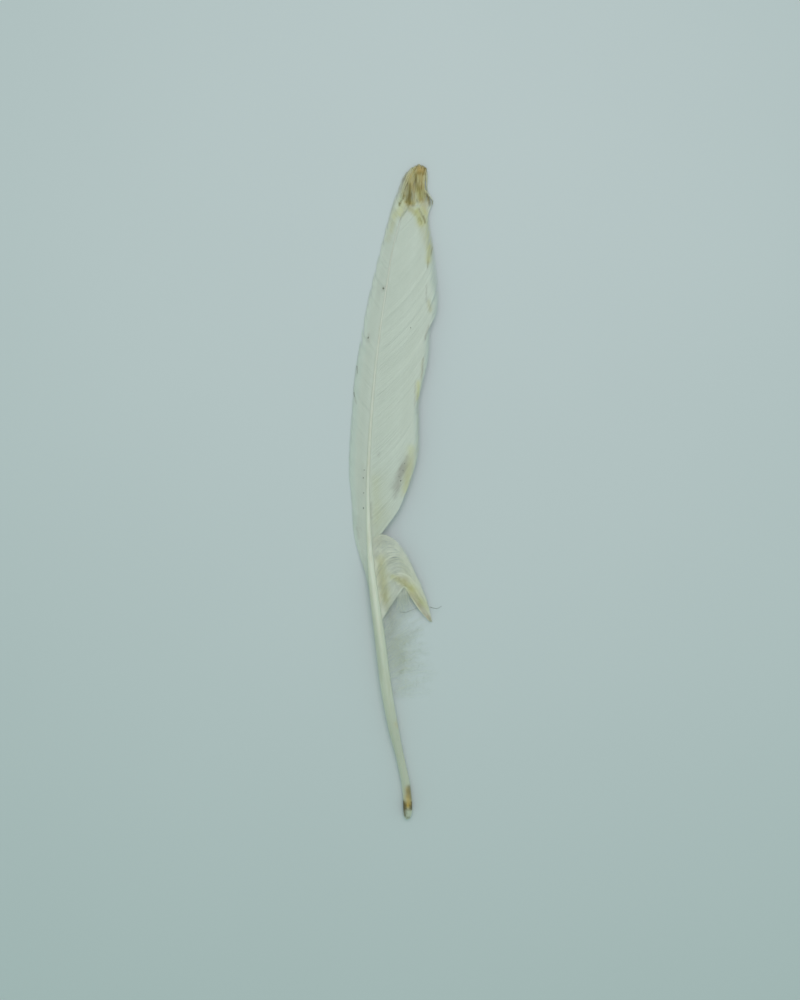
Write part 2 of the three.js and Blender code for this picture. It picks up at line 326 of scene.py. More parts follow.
class Bundle:
    """Strands gathered for one piece: vertices, faces and values per vertex."""

    def __init__(self):
        self.vertices, self.faces, self.values, self.count = [], [], {}, 0

    def add(self, vertices, faces, **values):
        self.vertices.append(vertices.reshape(-1, 3))
        self.faces.extend(f + self.count for f in faces)
        self.count += len(self.vertices[-1])
        for key, data in values.items():
            self.values.setdefault(key, []).append(data)

    def piece(self, name, material):
        vertices = np.concatenate(self.vertices)
        values = {key: np.concatenate(parts) for key, parts in self.values.items()}
        return mesh_piece(name, vertices, self.faces, values, material)


# Stains on barbs and quill, with some painted shade: strokes as x and y of both ends, a width, and a
# strength from 0 to 1

BROWN_STROKES = [
    (5.72, 107.45, 5.54, 105.34, 0.5, 0.85),
    (5.75, 105.6, 5.7, 103.6, 0.7, 0.8),
    (5.6, 103.9, 5.4, 102.1, 0.85, 0.92),
    (4.7, 103.0, 4.6, 101.6, 0.5, 0.5),
    (8.7, 111.8, 10.5, 111.4, 0.55, 0.65),
    (9.4, 114.3, 9.8, 113.4, 0.8, 0.15),
    (7.6, 107.4, 9.4, 106.2, 0.7, 0.35),
    (8.64, 95.8, 9.84, 94.2, 0.2, 0.4),
    (7.8, 97.2, 8.9, 94.2, 0.18, 0.3),
    (7.76, 111.32, 7.76, 108.5, 0.45, 0.8),
    (8.3, 108.2, 8.4, 105.6, 0.6, 0.5),
    (11.53, 104.46, 13.11, 101.99, 0.3, 0.65),
    (12.3, 103.2, 12.75, 100.6, 0.42, 0.55),
    (13.71, 102.17, 13.64, 100.94, 0.2, 0.8),
    (3.61, 104.1, 3.36, 103.05, 0.35, 0.7),
    (3.26, 102.87, 2.02, 100.51, 0.25, 0.75),
    (2.02, 101.11, 1.95, 100.41, 0.35, 0.9),
    (4.4, 98.8, 2.4, 95.6, 0.25, 0.3),
    (8.99, 99, 11, 94.42, 0.25, 0.7),
    (10.3, 96.54, 11, 94.6, 0.3, 0.8),
    (9.13, 96.29, 9.84, 94.18, 0.2, 0.5),
    (10.1, 114.7, 11.3, 113.5, 0.5, 0.7),
    (11.2, 113.6, 10.6, 111.8, 0.45, 0.6),
    (6.78, 114.03, 8.89, 114.91, 0.25, 0.3),
    (13.5, 85.6, 13.1, 82.9, 0.25, 0.7),
    (12.02, 80.34, 11.84, 78.58, 0.28, 0.6),
]
TAN_STROKES = [
    (8.7, 113.7, 10.4, 113.2, 1.1, 0.88),
    (8.7, 112.4, 10.2, 112.2, 1.2, 0.75),
    (9.6, 110.8, 9.8, 106.6, 1.0, 0.5),
    (5.9, 110.8, 6.3, 107.0, 1.3, 0.4),
    (4.4, 101.2, 6.9, 100.8, 0.8, 0.42),
    (3.0, 99.6, 2.4, 97.0, 0.9, 0.14),
    (9.8, 101.6, 11.2, 98.6, 1.2, 0.3),
    (12.27, 102.52, 12.13, 100.41, 0.6, 0.3),
    (7.0, 106.4, 7.1, 101.8, 0.65, 0.34),
    (9.6, 102.4, 11.6, 100.6, 0.8, 0.2),
    (0.8, -30.2, 4.3, -31.0, 1.0, 0.12),
    (4.3, -31.4, 7.9, -37.3, 1.8, 0.08),
    (7.9, -37.3, 12.6, -45.3, 2.3, 0.1),
    (5.9, -35.8, 8.6, -40.4, 0.9, 0.2),
    (8.8, -40.0, 12.9, -45.8, 1.1, 0.24),
    (12.0, -43.6, 12.9, -45.4, 0.6, 0.32),
]
YELLOW_STROKES = [
    (3.7, 104.6, 2.4, 101.6, 1.2, 0.35),
    (3.2, 101.6, 1.0, 97.4, 1.5, 0.35),
    (8.0, 98.4, 9.6, 94.2, 1.3, 0.8),
    (10.2, 99.4, 11.0, 97.8, 1.0, 0.6),
    (8.9, 105.6, 9.4, 101.4, 1.0, 0.35),
    (4.6, 101.4, 6.8, 101.0, 0.9, 0.8),
    (7.1, 106.0, 7.3, 101.6, 0.8, 0.4),
    (11.6, 96.6, 12.9, 86.3, 1.2, 0.3),
    (12.5, 84.9, 12.2, 80.7, 1.0, 0.4),
    (8.6, 37.8, 8.6, 32.2, 0.8, 0.6),
    (6.0, 15.0, 4.2, 0.5, 1.3, 0.35),
    (-0.6, -29.8, 2.2, -31.2, 1.0, 0.55),
    (3.4, -31.6, 6.2, -34.2, 1.2, 0.52),
    (6.2, -34.2, 9.4, -38.6, 1.6, 0.4),
    (1.5, -54.0, 4.5, -69.0, 4.0, 0.22),
    (-4.4, -24.0, -2.9, -37.0, 1.6, 0.34),
    (-6.4, 4.0, -6.0, -10.0, 1.6, 0.14),
    (3.0, 99.6, 2.4, 97.0, 1.1, 0.45),
    (0.4, 97.0, -0.8, 91.5, 1.0, 0.22),
    (3.0, -24.5, 8.4, -35.0, 1.9, 0.12),
    (9.6, -38.4, 11.8, -40.9, 1.1, 0.4),
]
OLIVE_STROKES = [
    (8.18, 113.78, 6.8, 107.5, 2.0, 0.75),
    (9.24, 112.38, 10.65, 103.93, 1.8, 0.7),
    (5.02, 109.56, 3.9, 104.5, 1.3, 0.5),
    (5.5, 106.0, 5.3, 101.4, 1.1, 0.62),
    (8.9, 106.2, 9.2, 102.4, 1.2, 0.75),
    (10.0, 105.4, 10.6, 103.6, 1.0, 0.4),
    (11.2, 103.6, 12.9, 101.2, 0.6, 0.5),
    (7.02, 113.08, 6.95, 111.5, 0.9, 0.9),
    (5.54, 113.08, 4.31, 110.97, 0.9, 0.45),
    (5.72, 110.62, 5.37, 108.15, 1.3, 0.7),
    (9.42, 110.97, 9.42, 106.04, 1.6, 0.7),
    (4.14, 109.56, 3.08, 106.04, 0.8, 0.3),
    (8.71, 105.34, 9.42, 103.22, 1.1, 0.8),
    (10.65, 104.98, 11.7, 102.87, 0.7, 0.5),
    (4.2, 104.3, 4.1, 101.4, 0.6, 0.4),
    (4.9, 108.4, 3.3, 103.6, 0.9, 0.3),
    (5.6, 101.6, 5.2, 99.4, 1.2, 0.5),
    (6.1, 98.9, 7.4, 97.6, 0.9, 0.6),
    (8.54, 98.2, 9.7, 94.0, 1.2, 0.4),
    (10.65, 101.82, 10.65, 97.59, 1.4, 0.22),
    (11.35, 96.89, 13.11, 86.33, 1, 0.35),
    (9.59, 93.37, 12.06, 86.33, 1.5, 0.3),
    (12.41, 84.92, 12.23, 80.7, 1, 0.5),
    (0.44, 98.3, -2.02, 88.44, 1.2, 0.25),
    (12.23, 66.26, 12.76, 63.1, 0.7, 0.45),
    (8.54, 38.1, 8.54, 32.82, 0.6, 0.2),
    (10.12, 46.2, 9.59, 39.16, 0.4, 0.3),
    (7.2, 13.6, 5.2, 3.0, 1.6, 0.25),
    (5.4, 9.0, 3.6, -1.0, 1.5, 0.25),
    (7.5, 6.5, 7.0, 1.5, 0.6, 0.3),
    # Painted shade: a grey-green band along the wide vane's right edge, where the edge lies in shade
    (9.06, 30.36, 8.54, 14.52, 0.7, 0.25),
    (-5.6, 4.0, -4.6, -8.0, 4.0, 0.14),
    (-5.0, -8.0, -4.5, -14.0, 3.4, 0.15),
    (-6.6, -12.0, -5.9, -18.5, 1.6, 0.15),
    (-4.9, -24.0, -2.6, -38.28, 1.8, 0.34),
    (-5.2, -28.5, -3.9, -36.0, 1.0, 0.17),
    (-3.2, -21.8, -0.8, -24.0, 1.6, 0.12),
    (-3.43, -36.87, -1.67, -42.5, 1.5, 0.25),
    (-2.2, -29.2, 3.4, -30.6, 1.4, 0.04),
    (3.6, -30.4, 7.6, -36.0, 1.9, 0.14),
    (3.6, -32.2, 6.0, -34.0, 0.9, 0.32),
    (11.0, 112.4, 11.2, 106.8, 0.8, 0.45),
]
GREY_STROKES = [
    (6.3, 113.9, 3.3, 109.6, 0.4, 0.35),
    (3.3, 109.6, -0.6, 99.0, 0.4, 0.25),
    (-0.6, 99.0, -2.4, 92.9, 0.4, 0.15),
    (3.5, 110.3, 4.1, 109.0, 0.5, 0.35),
    (4.7, 11.6, 3.0, 7.2, 1.2, 0.34),
    (3.6, 8.2, 2.0, 5.2, 1.2, 0.34),
    (2.2, 5.6, 0.3, 1.5, 1.3, 0.34),
    (1.7, 2.4, 0.4, -1.9, 0.9, 0.4),
    (3.9, 10.0, 1.2, 2.0, 2.0, 0.15),
    (3.0, 9.4, 2.2, 7.2, 0.4, 0.4),
    (-3.61, 71.2, -3.5, 70.2, 0.7, 0.25),
    (-8.9, 54.9, -9.0, 52.6, 0.6, 0.3),
    (-10.5, 9.0, -10.5, -1.5, 0.9, 0.08),
    (-13.0, -13.0, -12.2, -16.4, 0.5, 0.22),
    (-0.1, -48.5, -2.0, -51.3, 0.7, 0.3),
    (0.2, -70.4, 1.0, -72.0, 0.7, 0.3),
    (3.1, -57.0, 1.6, -65.7, 0.6, 0.24),
    (1.6, -65.7, 0.6, -71.0, 0.6, 0.3),
    # Thin dark lines near the wide vane's right edge; the first is painted shade in the crease beside a
    # curled-up lock
    (11.35, 71.54, 11.42, 66.26, 0.25, 0.4),
    (12.23, 57.82, 10.82, 52.89, 0.3, 0.5),
    (10.3, 46.55, 9.87, 38.81, 0.25, 0.45),
    (8.36, 34.23, 8.25, 26.84, 0.25, 0.4),
    (7.55, 38.46, 7.34, 29.3, 0.2, 0.35),
    (15.22, 77.18, 15.22, 69.78, 0.2, 0.35),
    (12.2, 94.8, 13.1, 92.6, 0.3, 0.4),
    (11.53, 104.46, 13.11, 101.99, 0.35, 0.5),
    (12.3, 103.2, 12.75, 100.6, 0.5, 0.5),
    (13.1, 92.6, 13.4, 88.6, 0.3, 0.3),
    # Painted shade: these two are a thin dark line on the vane along the right side of the shaft
    (-8.0, -4.31, -7.95, -9.06, 0.3, 0.4),
    (-7.83, -9.06, -7.13, -22.79, 0.3, 0.15),
    # Painted shadow: a short dark line in a small split at the narrow vane's edge
    (-13.7, 32.9, -13.1, 31.0, 0.2, 0.4),
    (-12.9, -9.2, -12.4, -13.6, 0.7, 0.12),
    (-5.3, 13.46, -5.19, 12.41, 0.5, 0.2),
]
QUILL_BROWN_STROKES = [
    (3.2, -108.9, 3.55, -111.2, 0.7, 1),
    (3.3, -110.0, 6.5, -110.0, 1.05, 0.8),
    (3.5, -111.2, 6.4, -111.2, 0.4, 0.85),
    (6.3, -109.0, 6.4, -111.3, 0.45, 0.95),
    (3.5, -111.5, 4.0, -113.8, 0.4, 0.85),
    (4.3, -112.2, 4.6, -112.9, 0.3, 0.4),
    (5.6, -103.6, 6.0, -107.6, 0.6, 0.5),
    (5.0, -103.4, 5.2, -105.4, 0.7, 0.3),
    (4.7, -104.8, 4.9, -106.8, 0.6, 0.3),
    (4.7, -114.5, 5.6, -114.5, 0.3, 0.7),
]
QUILL_TAN_STROKES = [
    (3.4, -109.9, 6.4, -109.9, 1.1, 1),
    (5.0, -104.4, 5.5, -108.6, 1.1, 0.65),
    (4.6, -107.0, 4.8, -108.6, 1.0, 0.4),
    (0.9, -81.2, 2.1, -82.8, 0.8, 0.22),
]
QUILL_GOLD_STROKES = [
    (4.95, -109.3, 5.0, -110.9, 0.42, 1),
    (5.6, -109.1, 6.0, -109.7, 0.3, 0.6),
]


# Sizes and amounts of the waves that bend a stroke's edges, and sizes and shares of its paler patches
EDGE_WAVES = ((0.9, 0.3), (0.35, 0.1))
PATCHES = ((1.1, 0.6), (0.4, 0.4))
# The stains on each barb are shifted along Y by up to this much
STAIN_SHIFT = 0.4


def wobble(points, size, amount):
    """Smooth shifts of each place, so that no mark has a ruled edge."""
    x, y = points[:, 0] / size, points[:, 1] / size
    right = np.sin(1.7 * x + 2.3 * np.sin(1.3 * y + 0.5)) + 0.5 * np.sin(3.9 * y - 2.1 * x + 1.0)
    up = np.sin(2.1 * y + 1.9 * np.sin(1.7 * x)) + 0.5 * np.sin(4.3 * x + 1.5 * y)
    return amount * np.stack([right, up], axis=-1)


def mottle(points, size):
    """A smooth uneven value between 0 and 1 at each place."""
    x, y = points[:, 0] / size, points[:, 1] / size
    waves = np.sin(2.9 * x + 1.7 * np.sin(2.2 * y)) + np.sin(3.7 * y + 2.1 * np.sin(1.9 * x + 1.0))
    return 0.5 + 0.25 * waves


def stroke_mask(points, strokes, uneven=0.0):
    """How strongly the strokes cover each point, from 0 to 1, with soft and wavy edges."""
    places = points[:, :2]
    patches = 1.0
    if uneven:
        places = places + sum(wobble(points, size, amount * uneven) for size, amount in EDGE_WAVES)
        patches = 1 - uneven * sum(share * mottle(points, size) for size, share in PATCHES)
    clear = np.ones(len(points))
    for x0, y0, x1, y1, width, strength in strokes:
        start, run = np.array([x0, y0]), np.array([x1 - x0, y1 - y0])
        t = np.clip(((places - start) @ run) / (run @ run), 0, 1)
        gap = np.linalg.norm(places - start - t[:, None] * run, axis=1)
        clear *= 1 - strength * patches * np.exp(-((gap / width) ** 2))
    return 1 - clear


# Each stain's strokes, how uneven they are and how much the stain varies from barb to barb; a few olive and
# grey strokes are painted shade
STAINS_AND_PAINTED_SHADE = {
    "brown": (BROWN_STROKES, 0.2, 0.1),
    "tan": (TAN_STROKES, 0.25, 0.1),
    "yellow": (YELLOW_STROKES, 0.3, 0.12),
    "olive": (OLIVE_STROKES, 0.3, 0.12),
    "grey": (GREY_STROKES, 0.4, 0.0),
}


def stains_and_painted_shade(points, barb_random):
    """Stain values per vertex, with painted shade from some olive and grey strokes among them. Each barb
    takes up the stain a little differently.
    """
    shifted = points.copy()
    shifted[:, 1] += STAIN_SHIFT * barb_random
    return {
        name: stroke_mask(shifted, strokes, uneven) * (1 - varied + varied * barb_random)
        for name, (strokes, uneven, varied) in STAINS_AND_PAINTED_SHADE.items()
    }


# Materials

# Lighter and darker barbs of the vanes, the tuft and the down
CREAM, CREAM_SHADE = (0.795, 0.825, 0.735, 1), (0.755, 0.785, 0.69, 1)
FLUFF, FLUFF_SHADE = (0.96, 0.97, 0.87, 1), (0.92, 0.93, 0.82, 1)
SHEER, SHEER_SHADE = (0.95, 0.97, 0.88, 1), (0.90, 0.92, 0.83, 1)
OLIVE = (0.49, 0.43, 0.14, 1)
# What is laid over a barb's own tone, in this order, by the values on its vertices
BARB_LAYERS = (
    # thin: painted shade, darker and greener barb ends where the shaded floor shows through them
    ("thin", (0.60, 0.73, 0.67, 1)),
    ("yellow", (0.82, 0.81, 0.34, 1)),
    ("olive", OLIVE),
    ("tan", (0.56, 0.37, 0.11, 1)),
    ("grey", (0.33, 0.29, 0.24, 1)),
    ("brown", (0.225, 0.17, 0.025, 1)),
)
# Noise scales along a barb, across it and from barb to barb, for its streaks and its barbules
STREAK_SCALE = (0.12, 0.3, 3.0)
BARBULE_SCALE = (9.0, 1.5, 40.0)
BARB_ROUGHNESS, FLUFF_ROUGHNESS = 0.6, 0.7
BARB_SPECULAR = 0.2
# Bumps: strength, and height in metres
BARB_BUMP = (0.2, 0.00002)
HORN_BUMP = (0.2, 0.00004)

# Lighter and darker horn, the khaki patches in it, and what is laid over them: clear horn, which also
# carries painted highlight and shade, and stains
HORN, HORN_SHADE = (0.825, 0.84, 0.715, 1), (0.745, 0.76, 0.625, 1)
HORN_PATCH = (0.70, 0.66, 0.50, 1)
HORN_LAYERS = (
    ("clear", (0.44, 0.46, 0.355, 1)),
    ("olive", OLIVE),
    ("tan", (0.62, 0.41, 0.09, 1)),
    ("brown", (0.12, 0.085, 0.025, 1)),
)
# Noise scales along the shaft and across it, for its grain and its patches
GRAIN_SCALE = (0.12, 5.0, 5.0)
PATCH_SCALE = (0.16, 0.5, 0.5)
PATCH_STRENGTH = 0.45
# Light passes into horn, to these depths in millimetres for red, green and blue
HORN_VALUES = {
    "Roughness": 0.38,
    "Coat Weight": 0.15,
    "Subsurface Weight": 0.5,
    "Subsurface Radius": (2.2, 2.0, 1.8),
    "Subsurface Scale": MM,
}


class Nodes:
    """A material's node tree, with short ways to add what the feather's materials use."""

    def __init__(self, name):
        self.material = bpy.data.materials.new(name)
        self.material.use_nodes = True
        self.tree = self.material.node_tree
        self.shader = self.tree.nodes["Principled BSDF"]

    def add(self, kind, **settings):
        node = self.tree.nodes.new(kind)
        for key, value in settings.items():
            setattr(node, key, value)
        return node

    def link(self, source, target):
        self.tree.links.new(source, target)

    def attribute(self, name):
        node = self.add("ShaderNodeAttribute", attribute_type="GEOMETRY", attribute_name=name)
        return node.outputs["Vector"] if name == "strand" else node.outputs["Fac"]

    def noise(self, vector, scale, detail=3.0):
        node = self.add("ShaderNodeTexNoise")
        node.inputs["Scale"].default_value = scale
        node.inputs["Detail"].default_value = detail
        self.link(vector, node.inputs["Vector"])
        return node.outputs["Fac"]

    def stretched(self, vector, scale):
        node = self.add("ShaderNodeMapping")
        node.inputs["Scale"].default_value = scale
        self.link(vector, node.inputs["Vector"])
        return node.outputs["Vector"]

    def ramp(self, value, stops):
        node = self.add("ShaderNodeValToRGB")
        while len(node.color_ramp.elements) < len(stops):
            node.color_ramp.elements.new(0.5)
        for element, (position, color) in zip(node.color_ramp.elements, stops):
            element.position, element.color = position, color
        self.link(value, node.inputs["Fac"])
        return node.outputs["Color"]

    def mix(self, share, a, b):
        node = self.add("ShaderNodeMix", data_type="RGBA")
        self.link(share, node.inputs["Factor"])
        for socket, value in ((node.inputs["A"], a), (node.inputs["B"], b)):
            if isinstance(value, tuple):
                socket.default_value = value
            else:
                self.link(value, socket)
        return node.outputs["Result"]

    def layers(self, color, tones):
        """Tones laid over a colour, each by the attribute of its name."""
        for name, tone in tones:
            color = self.mix(self.attribute(name), color, tone)
        return color

    def bump(self, height, strength, distance):
        node = self.add("ShaderNodeBump")
        node.inputs["Strength"].default_value = strength
        node.inputs["Distance"].default_value = distance
        self.link(height, node.inputs["Height"])
        self.link(node.outputs["Normal"], self.shader.inputs["Normal"])

    def shade(self, color, values):
        """The colour and other inputs of the shader."""
        self.link(color, self.shader.inputs["Base Color"])
        for name, value in values.items():
            self.shader.inputs[name].default_value = value


def barb_material(name, light, shade, roughness):
    """Matt silky keratin: each barb its own tone, stained by the values on its vertices, with painted shade
    on the thin ends of the barbs.
    """
    nodes = Nodes(name)
    strand = nodes.attribute("strand")
    streaks = nodes.noise(nodes.stretched(strand, STREAK_SCALE), 1.0, 3.0)
    color = nodes.layers(nodes.ramp(streaks, [(0.3, shade), (0.7, light)]), BARB_LAYERS)
    nodes.shade(color, {"Roughness": roughness, "Specular IOR Level": BARB_SPECULAR})
    nodes.bump(nodes.noise(nodes.stretched(strand, BARBULE_SCALE), 1.0, 2.0), *BARB_BUMP)
    return nodes.material


# Vanes

BARB_SECTION = np.array([(-1.0, -0.012), (0.0, 0.01), (1.0, 0.01), (0.0, -0.045)])
# Each lock stands up by its own height, between these
STEP_HEIGHTS = (0.0, 0.014)
# How much painted shade darkens the thin ends of the barbs, near the quill and near the tip
END_SHADE_AMOUNTS = (0.5, 0.2)
# The wide vane's lowest barbs are broken short: by how much, and how far up the vane
BROKEN_LENGTH = 9.5
BROKEN_UP_TO = 0.08
# Barbs of each vane, the rings along each, and the seed of their scatter
NARROW_COUNTS, WIDE_COUNTS = (520, 26, 11), (540, 42, 12)
# Scatter of the roots as a share of their spacing, and of the lengths and the heights
ROOT_SCATTER, LENGTH_SCATTER, HEIGHT_SCATTER = 0.25, 0.3, 0.006
# How far the ends of a lock's barbs draw together, and how far along the vane all ends sweep
DRAWN, SWEPT = 0.02, 0.012
# Half the width of a barb as a share of the spacing, and the least spacing
HALF_WIDTH, LEAST_SPACING = 0.66, 0.06
# Where the painted shade on the ends of the barbs begins and where it is full, on the narrow and on the wide
# vane
END_SHADE_PARTS = {-1: (0.5, 0.8), 1: (0.8, 1.0)}
# How much higher matted locks stand up
MATTED_RISE = 1.6
# A step along the vane, for finding the spacing of the barbs
NEARBY = 0.002


def vane_bundle(sheet, barbs, rings, seed):
    """Barbs side by side over a vane's surface, drawn together lock by lock towards their ends."""
    rng = np.random.default_rng(seed)
    along = (np.arange(barbs) + 0.5 + ROOT_SCATTER * rng.uniform(-1, 1, barbs)) / barbs
    lock, phase, cut = sheet.lock_of(along)
    cut = cut + rng.uniform(0, LENGTH_SCATTER, barbs)
    if sheet.side > 0:
        cut = cut + BROKEN_LENGTH * np.clip(1 - along / BROKEN_UP_TO, 0, 1) ** 1.5
    centre = (sheet.borders[lock] + sheet.borders[lock + 1]) / 2
    out = np.linspace(0, 1, rings)[None, :]
    drawn = (centre - along)[:, None] * DRAWN * out**3
    swept = SWEPT * rng.uniform(0.6, 1.2, (barbs, 1)) * smooth(out, 0.75, 1.0) ** 2
    place = np.clip(along[:, None] + drawn + swept, 0, 1)

    points = sheet.surface(place, out, cut[:, None])
    ahead = sheet.surface(np.clip(place + NEARBY, 0, 1), out, cut[:, None])
    behind = sheet.surface(np.clip(place - NEARBY, 0, 1), out, cut[:, None])
    tangent = unit(np.gradient(points, axis=1))
    across = ahead - behind
    across -= tangent * np.sum(across * tangent, axis=-1, keepdims=True)
    spacing = np.linalg.norm(across, axis=-1) / (2 * NEARBY) / barbs
    side = unit(across)
    up = unit(np.cross(tangent, side)) * sheet.side

    matted = 1 + MATTED_RISE * smooth(along, MATTED_FROM, 1)
    step = lerp(*STEP_HEIGHTS, np.abs(wander(lock + 40 * sheet.side)) ** 2)
    lift = step * np.interp(phase, LOCK_PHASE, LOCK_RISE) * matted
    lift = lift[:, None] * smooth(out, 0.04, 0.3) + HEIGHT_SCATTER * rng.uniform(-1, 1, (barbs, 1)) * out
    lift *= smooth(points[..., 2], 0.1, 0.8)
    points = points + up * lift[..., None]

    taper = 1 - 0.85 * smooth(out, 0.9, 1.0)
    half = HALF_WIDTH * np.maximum(spacing, LEAST_SPACING) * taper
    right = half[..., None] * BARB_SECTION[:, 0]
    vertices = sections(points, side, up, right, taper[..., None] * BARB_SECTION[:, 1])
    keep_above(vertices, 0.0)
    sides = len(BARB_SECTION)
    flat = vertices.reshape(-1, 3)
    random = rng.uniform(-1, 1, barbs)
    length = np.linalg.norm(np.diff(points, axis=1), axis=-1).cumsum(axis=1)
    length = np.c_[np.zeros(barbs), length]
    tone = 0.1 * random + 0.12 * wander(lock)
    strand = np.stack(np.broadcast_arrays(
        length[..., None], right, tone[:, None, None],
    ), axis=-1).reshape(-1, 3)
    # Painted shade on the thin ends of the barbs
    thin = lerp(*END_SHADE_AMOUNTS, smooth(along, 0.3, 0.8))[:, None] * smooth(out, *END_SHADE_PARTS[sheet.side])
    marks = stains_and_painted_shade(flat, np.repeat(random, rings * sides))
    bundle = Bundle()
    bundle.add(
        flat, ring_faces(barbs, rings, sides), strand=strand, thin=np.repeat(thin, sides), **marks,
    )
    return bundle


# Shaft

SHAFT_RINGS = 300
SHAFT_SIDES = 28
# How far the shaft lies below the roots of the barbs, past the tuft
SHAFT_SUNK = 0.15
# Over these heights it turns from round to flat-sided: how square it gets, and how much flatter on top
FLAT_SIDED = (-60, -20)
SQUARENESS, FLATTENING = 1.2, 0.5
# The groove below it: depth as a share of the radius, and width as an angle
GROOVE_DEPTH, GROOVE_WIDTH = 0.3, 0.35


def shaft_material():
    """Horn with a fine grain and khaki patches, glossier than the barbs."""
    nodes = Nodes("shaft_keratin")
    strand = nodes.attribute("strand")
    grain = nodes.noise(nodes.stretched(strand, GRAIN_SCALE), 1.0, 4.0)
    color = nodes.ramp(grain, [(0.3, HORN_SHADE), (0.7, HORN)])
    patches = nodes.noise(nodes.stretched(strand, PATCH_SCALE), 1.0, 2.0)
    patchy = nodes.ramp(patches, [(0.45, (0, 0, 0, 1)), (0.75, (PATCH_STRENGTH,) * 3 + (1,))])
    color = nodes.layers(nodes.mix(patchy, color, HORN_PATCH), HORN_LAYERS)
    nodes.shade(color, HORN_VALUES)
    nodes.bump(grain, *HORN_BUMP)
    return nodes.material


def clear_horn_and_painted_light(y, across):
    """How much of the clear horn's darker tone is laid on, from 0 to 1, at heights y and from side to side
    of the shaft: the horn's own clear tone on the quill, with painted light and shade, and the shaft darker
    along its blade.
    """
    # Painted light and shade: the quill's sides are painted lighter and its left side darker, and the top of
    # the shaft has a painted highlight with painted shade on its flanks; the neck's left side is painted
    # darker too
    edge = np.abs(across) ** 3
    left = smooth(-across, -0.3, 0.8)
    ridge_highlight = np.exp(-(((across - 0.1) / 0.33) ** 2))
    quill = 1 - smooth(y, -72, -42)
    neck = smooth(-y, 22, 40) * (1 - smooth(-y, 60, 70))
    blade = smooth(y, -18, 2) * (1 - 0.3 * smooth(y, 40, 60) + 0.3 * smooth(y, 70, 88))
    clear = quill * (0.42 - 0.3 * edge + 0.1 * left + 0.2 * smooth(-y, 68, 88))
    clear = clear + 0.22 * neck * smooth(-across, -0.5, 0.6)
    flank_shade = (0.22 + 0.1 * left) * (1 - ridge_highlight) * (1 - 0.7 * blade)
    clear = clear + (1 - quill) * (0.05 + 0.25 * blade + flank_shade)
    return np.clip(clear, 0, 1)


def shaft_piece():
    """The quill is round and clear. Towards the tip the shaft has flat sides and a groove below."""
    places = np.linspace(0, 1, SHAFT_RINGS)
    y = lerp(SHAFT_ROWS[0, 1], SHAFT_ROWS[-1, 1], 0.35 * places**3 + 0.65 * places)
    centre = shaft_at(y)
    centre[:, 2] -= SHAFT_SUNK * smooth(y, -18, 10)
    tangent = unit(np.gradient(centre, axis=0))
    side = unit(np.cross(tangent, UP))
    up = np.cross(side, tangent)
    radius = shaft_width(y)[:, None] / 2
    angle = np.linspace(0, 2 * np.pi, SHAFT_SIDES, endpoint=False)
    cos, sin = np.cos(angle), np.sin(angle)
    squared = smooth(y, *FLAT_SIDED)[:, None]
    roundness = 2 + SQUARENESS * squared
    shape = (np.abs(cos) ** roundness + np.abs(sin) ** roundness) ** (-1 / roundness)
    groove = 1 - GROOVE_DEPTH * squared * np.exp(-((angle - 1.5 * np.pi) / GROOVE_WIDTH) ** 2)
    reach = radius * shape * groove
    flatness = np.where(sin > 0, 1 - FLATTENING * squared, 1)
    vertices = sections(centre, side, up, reach * cos, reach * flatness * sin)
    keep_above(vertices, 0)
    flat = vertices.reshape(-1, 3)
    strand = np.stack(np.broadcast_arrays(y[:, None], cos * radius, sin * radius), axis=-1)
    bundle = Bundle()
    bundle.add(
        flat, ring_faces(1, SHAFT_RINGS, SHAFT_SIDES), strand=strand.reshape(-1, 3),
        # The clear horn's tone, with painted light and shade on the shaft
        clear=clear_horn_and_painted_light(y[:, None], cos).ravel(),
        tan=stroke_mask(flat, QUILL_TAN_STROKES),
        olive=0.6 * np.repeat(smooth(y, 96, 101), SHAFT_SIDES),
        brown=np.maximum(
            stroke_mask(flat, QUILL_BROWN_STROKES) * (1 - stroke_mask(flat, QUILL_GOLD_STROKES)),
            stroke_mask(flat, BROWN_STROKES),
        ),
    )
    return bundle.piece("shaft", shaft_material())


# Tuft and down: thin barbs with their barbules

# Each kind of loose barb: its radii at root and end, how many barbules it has, their length, their lean
# from the barb in degrees, half their thickness, and the bare share at its root
TUFT_BARBS = dict(radii=(0.065, 0.03), per_barb=60, length=1.4, lean=45, thin=0.017)
HANGING_BARBS = dict(radii=(0.045, 0.015), per_barb=30, length=1.2, lean=50, thin=0.012)
MATTED_BARBS = dict(radii=(0.13, 0.06), per_barb=20, length=0.5, lean=14, thin=0.02)
DOWN_BARBS = dict(radii=(0.013, 0.01), per_barb=22, length=2.8, lean=65, thin=0.007, bare=0.2)
TIP_BARBS = dict(radii=(0.13, 0.05), per_barb=16, length=0.35, lean=14, thin=0.02)
# The lowest heights of these barbs and of their barbules' ends
LOWEST, LOWEST_END = 0.01, 0.04


def tube(paths, radius, sides=4):
    """Closed thin tubes along paths (strand, ring, xyz), with a radius for each ring."""
    tangent = unit(np.gradient(paths, axis=1))
    side = unit(np.cross(tangent, UP))
    up = np.cross(side, tangent)
    angle = np.linspace(0, 2 * np.pi, sides, endpoint=False)
    radius = radius[..., None]
    vertices = sections(paths, side, up, radius * np.cos(angle), radius * np.sin(angle))
    keep_above(vertices, LOWEST)
    return vertices, ring_faces(*paths.shape[:2], sides)


def between_rings(paths, t):
    """Points at places t on each path, counted in rings, and the way from ring to ring there."""
    k = np.minimum(t.astype(int), paths.shape[1] - 2)
    w = (t - k)[..., None]
    rows = np.arange(len(paths))[:, None]
    before, after = paths[rows, k], paths[rows, k + 1]
    return before * (1 - w) + after * w, after - before


